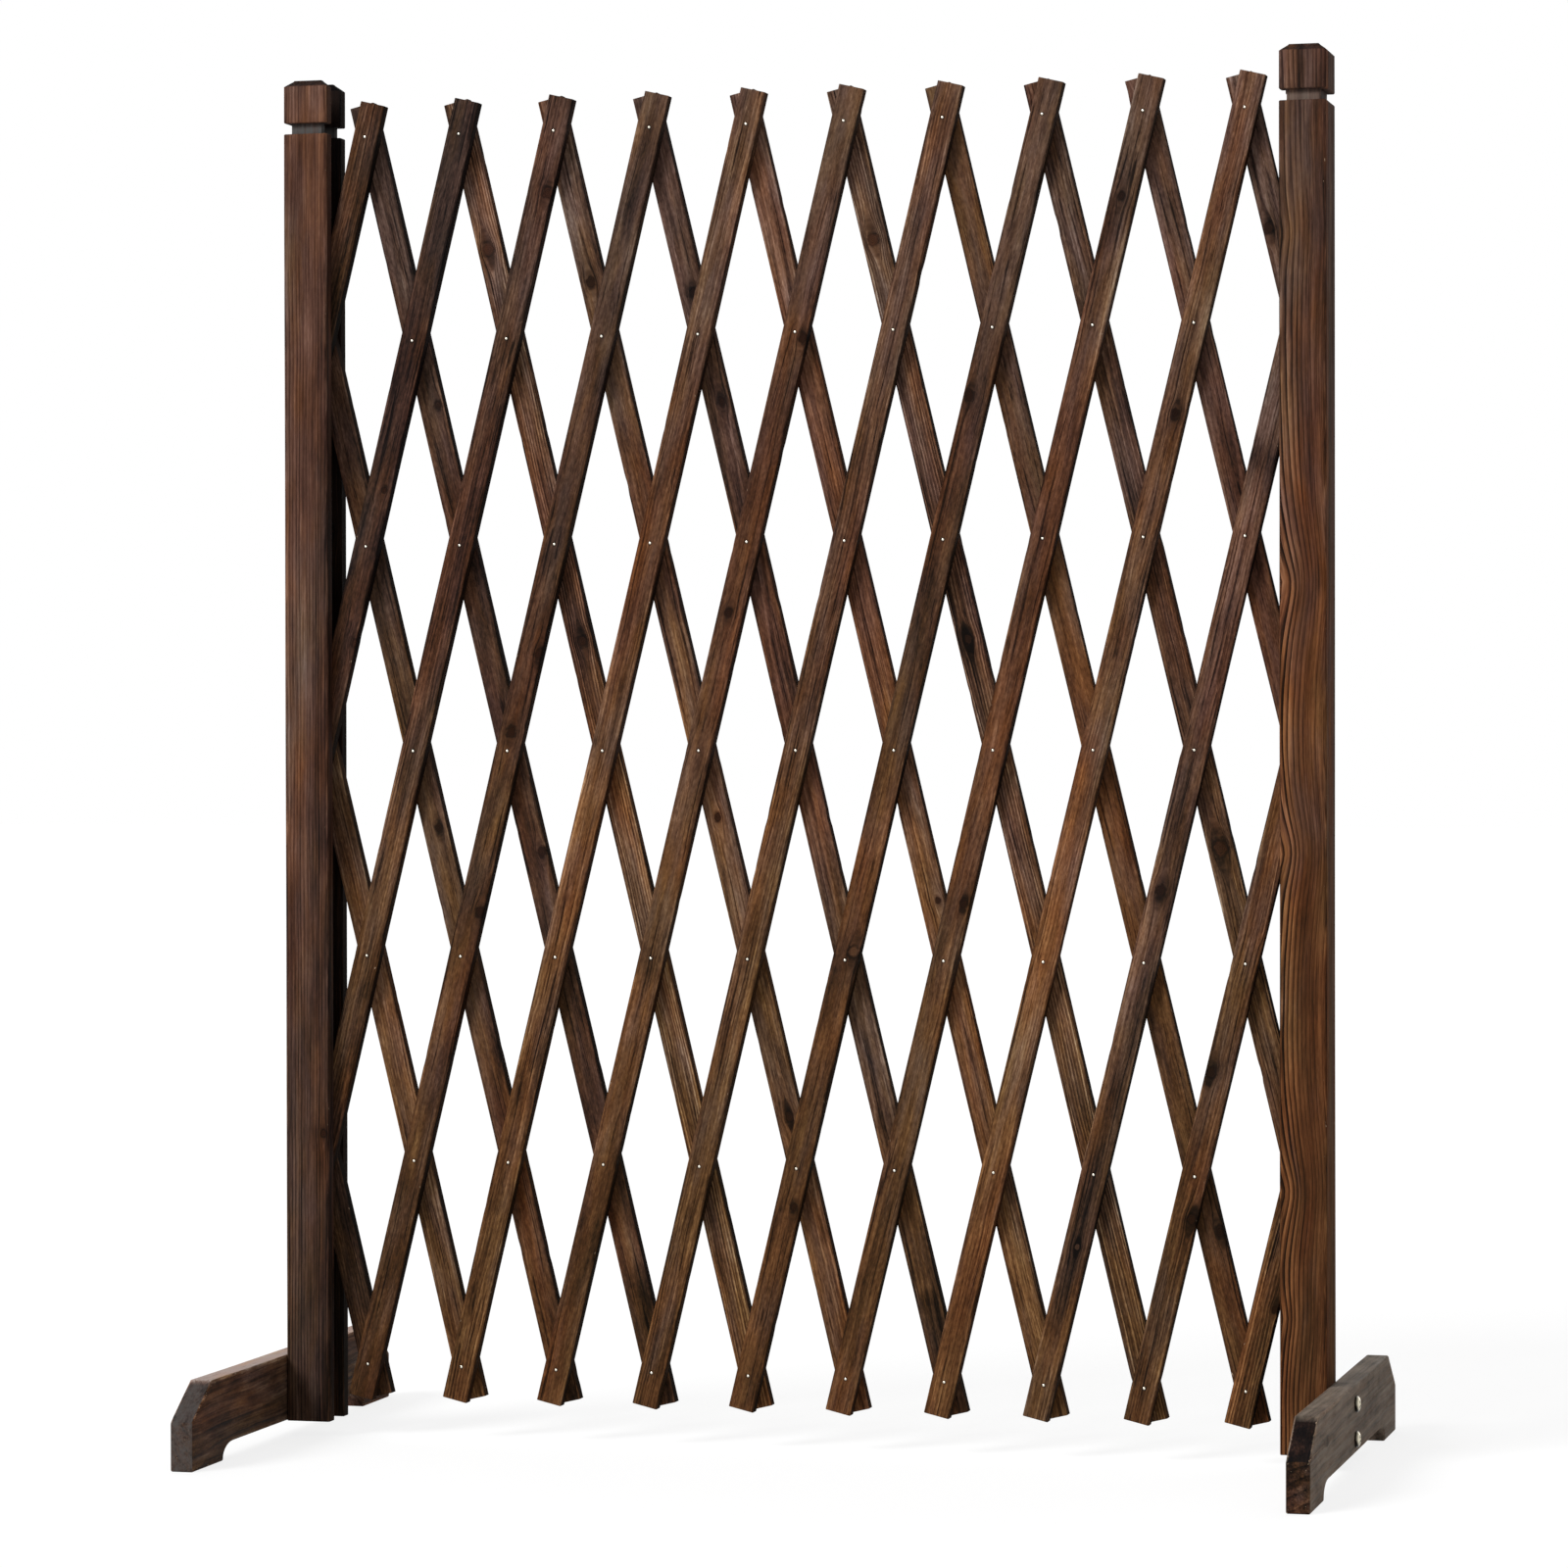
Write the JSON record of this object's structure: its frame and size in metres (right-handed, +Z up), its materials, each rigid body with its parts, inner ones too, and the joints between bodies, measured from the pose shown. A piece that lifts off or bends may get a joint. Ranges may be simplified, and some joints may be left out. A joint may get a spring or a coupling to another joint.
{
  "type": "expanding lattice trellis",
  "caption": "Free-standing expanding trellis of charred laths riveted into a scissor lattice between two slotted posts with grooved heads, each on a bolted arched foot board.",
  "frame": {"origin": "on the floor, at the middle between the two posts", "axes": "+X from the left post to the right one, +Y to the back, +Z up; the front laths lean right at their top"},
  "size_m": [0.971, 0.5, 1.1941],
  "materials": {
    "front_lath": "charred and brushed, matt",
    "rear_lath": "charred and brushed, matt",
    "post": "charred and brushed, matt",
    "foot": "charred and brushed, matt",
    "bolt": "bright, pale brass coloured",
    "pin": "bright, pale brass coloured"
  },
  "bodies": {
    "left_post": {"left_front_batten": "post", "left_rear_batten": "post", "left_spacer": "post", "left_foot": "foot", "left_bolt_lower": "bolt", "left_bolt_upper": "bolt", "left_pivot_pin": "pin"},
    "front_lath_01": {"front_lath_01": "front_lath"},
    "rear_lath_01": {"rear_lath_01": "rear_lath"},
    "front_lath_02": {"front_lath_02": "front_lath"},
    "rear_lath_02": {"rear_lath_02": "rear_lath"},
    "front_lath_03": {"front_lath_03": "front_lath"},
    "rear_lath_03": {"rear_lath_03": "rear_lath"},
    "front_lath_04": {"front_lath_04": "front_lath"},
    "rear_lath_04": {"rear_lath_04": "rear_lath"},
    "front_lath_05": {"front_lath_05": "front_lath"},
    "rear_lath_05": {"rear_lath_05": "rear_lath"},
    "front_lath_06": {"front_lath_06": "front_lath"},
    "rear_lath_06": {"rear_lath_06": "rear_lath"},
    "front_lath_07": {"front_lath_07": "front_lath"},
    "rear_lath_07": {"rear_lath_07": "rear_lath"},
    "front_lath_08": {"front_lath_08": "front_lath"},
    "rear_lath_08": {"rear_lath_08": "rear_lath"},
    "front_lath_09": {"front_lath_09": "front_lath"},
    "rear_lath_09": {"rear_lath_09": "rear_lath"},
    "front_lath_10": {"front_lath_10": "front_lath"},
    "rear_lath_10": {"rear_lath_10": "rear_lath"},
    "front_lath_11": {"front_lath_11": "front_lath"},
    "rear_lath_11": {"rear_lath_11": "rear_lath"},
    "front_lath_12": {"front_lath_12": "front_lath"},
    "rear_lath_12": {"rear_lath_12": "rear_lath"},
    "front_lath_13": {"front_lath_13": "front_lath"},
    "rear_lath_13": {"rear_lath_13": "rear_lath"},
    "right_post": {"right_front_batten": "post", "right_rear_batten": "post", "right_spacer": "post", "right_foot": "foot", "right_bolt_lower": "bolt", "right_bolt_upper": "bolt", "right_pivot_pin": "pin"}
  },
  "joints": [
    {"name": "lattice_open", "type": "hinge", "parent": "left_post", "child": "rear_lath_02", "pos_m": [-0.43344, 0, 0.60405], "axis": [0, -1, 0], "range_deg": [-9.55, 15.45]},
    {"name": "front_lath_02_turn", "type": "hinge", "parent": "left_post", "child": "front_lath_02", "pos_m": [-0.43344, 0, 0.60405], "axis": [0, -1, 0], "range_deg": [-15.45, 9.55]},
    {"name": "front_lath_03_turn", "type": "hinge", "parent": "rear_lath_02", "child": "front_lath_03", "pos_m": [-0.3901, 0, 0.4242], "axis": [0, -1, 0], "range_deg": [-30.9, 19.1]},
    {"name": "rear_lath_03_turn", "type": "hinge", "parent": "front_lath_03", "child": "rear_lath_03", "pos_m": [-0.34675, 0, 0.60405], "axis": [0, -1, 0], "range_deg": [-19.1, 30.9]},
    {"name": "front_lath_04_turn", "type": "hinge", "parent": "rear_lath_03", "child": "front_lath_04", "pos_m": [-0.30341, 0, 0.4242], "axis": [0, -1, 0], "range_deg": [-30.9, 19.1]},
    {"name": "rear_lath_04_turn", "type": "hinge", "parent": "front_lath_04", "child": "rear_lath_04", "pos_m": [-0.26007, 0, 0.60405], "axis": [0, -1, 0], "range_deg": [-19.1, 30.9]},
    {"name": "front_lath_05_turn", "type": "hinge", "parent": "rear_lath_04", "child": "front_lath_05", "pos_m": [-0.21672, 0, 0.4242], "axis": [0, -1, 0], "range_deg": [-30.9, 19.1]},
    {"name": "rear_lath_05_turn", "type": "hinge", "parent": "front_lath_05", "child": "rear_lath_05", "pos_m": [-0.17338, 0, 0.60405], "axis": [0, -1, 0], "range_deg": [-19.1, 30.9]},
    {"name": "front_lath_06_turn", "type": "hinge", "parent": "rear_lath_05", "child": "front_lath_06", "pos_m": [-0.13003, 0, 0.4242], "axis": [0, -1, 0], "range_deg": [-30.9, 19.1]},
    {"name": "rear_lath_06_turn", "type": "hinge", "parent": "front_lath_06", "child": "rear_lath_06", "pos_m": [-0.08669, 0, 0.60405], "axis": [0, -1, 0], "range_deg": [-19.1, 30.9]},
    {"name": "front_lath_07_turn", "type": "hinge", "parent": "rear_lath_06", "child": "front_lath_07", "pos_m": [-0.04334, 0, 0.4242], "axis": [0, -1, 0], "range_deg": [-30.9, 19.1]},
    {"name": "rear_lath_07_turn", "type": "hinge", "parent": "front_lath_07", "child": "rear_lath_07", "pos_m": [0, 0, 0.60405], "axis": [0, -1, 0], "range_deg": [-19.1, 30.9]},
    {"name": "front_lath_08_turn", "type": "hinge", "parent": "rear_lath_07", "child": "front_lath_08", "pos_m": [0.04334, 0, 0.4242], "axis": [0, -1, 0], "range_deg": [-30.9, 19.1]},
    {"name": "rear_lath_08_turn", "type": "hinge", "parent": "front_lath_08", "child": "rear_lath_08", "pos_m": [0.08669, 0, 0.60405], "axis": [0, -1, 0], "range_deg": [-19.1, 30.9]},
    {"name": "front_lath_09_turn", "type": "hinge", "parent": "rear_lath_08", "child": "front_lath_09", "pos_m": [0.13003, 0, 0.4242], "axis": [0, -1, 0], "range_deg": [-30.9, 19.1]},
    {"name": "rear_lath_09_turn", "type": "hinge", "parent": "front_lath_09", "child": "rear_lath_09", "pos_m": [0.17338, 0, 0.60405], "axis": [0, -1, 0], "range_deg": [-19.1, 30.9]},
    {"name": "front_lath_10_turn", "type": "hinge", "parent": "rear_lath_09", "child": "front_lath_10", "pos_m": [0.21672, 0, 0.4242], "axis": [0, -1, 0], "range_deg": [-30.9, 19.1]},
    {"name": "rear_lath_10_turn", "type": "hinge", "parent": "front_lath_10", "child": "rear_lath_10", "pos_m": [0.26007, 0, 0.60405], "axis": [0, -1, 0], "range_deg": [-19.1, 30.9]},
    {"name": "front_lath_11_turn", "type": "hinge", "parent": "rear_lath_10", "child": "front_lath_11", "pos_m": [0.30341, 0, 0.4242], "axis": [0, -1, 0], "range_deg": [-30.9, 19.1]},
    {"name": "rear_lath_11_turn", "type": "hinge", "parent": "front_lath_11", "child": "rear_lath_11", "pos_m": [0.34675, 0, 0.60405], "axis": [0, -1, 0], "range_deg": [-19.1, 30.9]},
    {"name": "front_lath_12_turn", "type": "hinge", "parent": "rear_lath_11", "child": "front_lath_12", "pos_m": [0.3901, 0, 0.4242], "axis": [0, -1, 0], "range_deg": [-30.9, 19.1]},
    {"name": "right_post_turn", "type": "hinge", "parent": "front_lath_12", "child": "right_post", "pos_m": [0.43344, 0, 0.60405], "axis": [0, -1, 0], "range_deg": [-9.55, 15.45]},
    {"name": "rear_lath_12_turn", "type": "hinge", "parent": "right_post", "child": "rear_lath_12", "pos_m": [0.43344, 0, 0.60405], "axis": [0, -1, 0], "range_deg": [-9.55, 15.45]},
    {"name": "front_lath_01_turn", "type": "hinge", "parent": "rear_lath_03", "child": "front_lath_01", "pos_m": [-0.43344, 0, 0.96375], "axis": [0, -1, 0], "range_deg": [-30.9, 19.1]},
    {"name": "rear_lath_01_turn", "type": "hinge", "parent": "front_lath_03", "child": "rear_lath_01", "pos_m": [-0.43344, 0, 0.24435], "axis": [0, -1, 0], "range_deg": [-19.1, 30.9]},
    {"name": "front_lath_13_turn", "type": "hinge", "parent": "rear_lath_11", "child": "front_lath_13", "pos_m": [0.43344, 0, 0.24435], "axis": [0, -1, 0], "range_deg": [-30.9, 19.1]},
    {"name": "rear_lath_13_turn", "type": "hinge", "parent": "front_lath_11", "child": "rear_lath_13", "pos_m": [0.43344, 0, 0.96375], "axis": [0, -1, 0], "range_deg": [-19.1, 30.9]}
  ],
  "couplings": [
    {"joint": "front_lath_02_turn", "follows": "lattice_open", "ratio": -1},
    {"joint": "front_lath_03_turn", "follows": "lattice_open", "ratio": -2},
    {"joint": "rear_lath_03_turn", "follows": "lattice_open", "ratio": 2},
    {"joint": "front_lath_04_turn", "follows": "lattice_open", "ratio": -2},
    {"joint": "rear_lath_04_turn", "follows": "lattice_open", "ratio": 2},
    {"joint": "front_lath_05_turn", "follows": "lattice_open", "ratio": -2},
    {"joint": "rear_lath_05_turn", "follows": "lattice_open", "ratio": 2},
    {"joint": "front_lath_06_turn", "follows": "lattice_open", "ratio": -2},
    {"joint": "rear_lath_06_turn", "follows": "lattice_open", "ratio": 2},
    {"joint": "front_lath_07_turn", "follows": "lattice_open", "ratio": -2},
    {"joint": "rear_lath_07_turn", "follows": "lattice_open", "ratio": 2},
    {"joint": "front_lath_08_turn", "follows": "lattice_open", "ratio": -2},
    {"joint": "rear_lath_08_turn", "follows": "lattice_open", "ratio": 2},
    {"joint": "front_lath_09_turn", "follows": "lattice_open", "ratio": -2},
    {"joint": "rear_lath_09_turn", "follows": "lattice_open", "ratio": 2},
    {"joint": "front_lath_10_turn", "follows": "lattice_open", "ratio": -2},
    {"joint": "rear_lath_10_turn", "follows": "lattice_open", "ratio": 2},
    {"joint": "front_lath_11_turn", "follows": "lattice_open", "ratio": -2},
    {"joint": "rear_lath_11_turn", "follows": "lattice_open", "ratio": 2},
    {"joint": "front_lath_12_turn", "follows": "lattice_open", "ratio": -2},
    {"joint": "right_post_turn", "follows": "lattice_open", "ratio": 1},
    {"joint": "rear_lath_12_turn", "follows": "lattice_open", "ratio": 1},
    {"joint": "front_lath_01_turn", "follows": "lattice_open", "ratio": -2},
    {"joint": "rear_lath_01_turn", "follows": "lattice_open", "ratio": 2},
    {"joint": "front_lath_13_turn", "follows": "lattice_open", "ratio": -2},
    {"joint": "rear_lath_13_turn", "follows": "lattice_open", "ratio": 2}
  ]
}
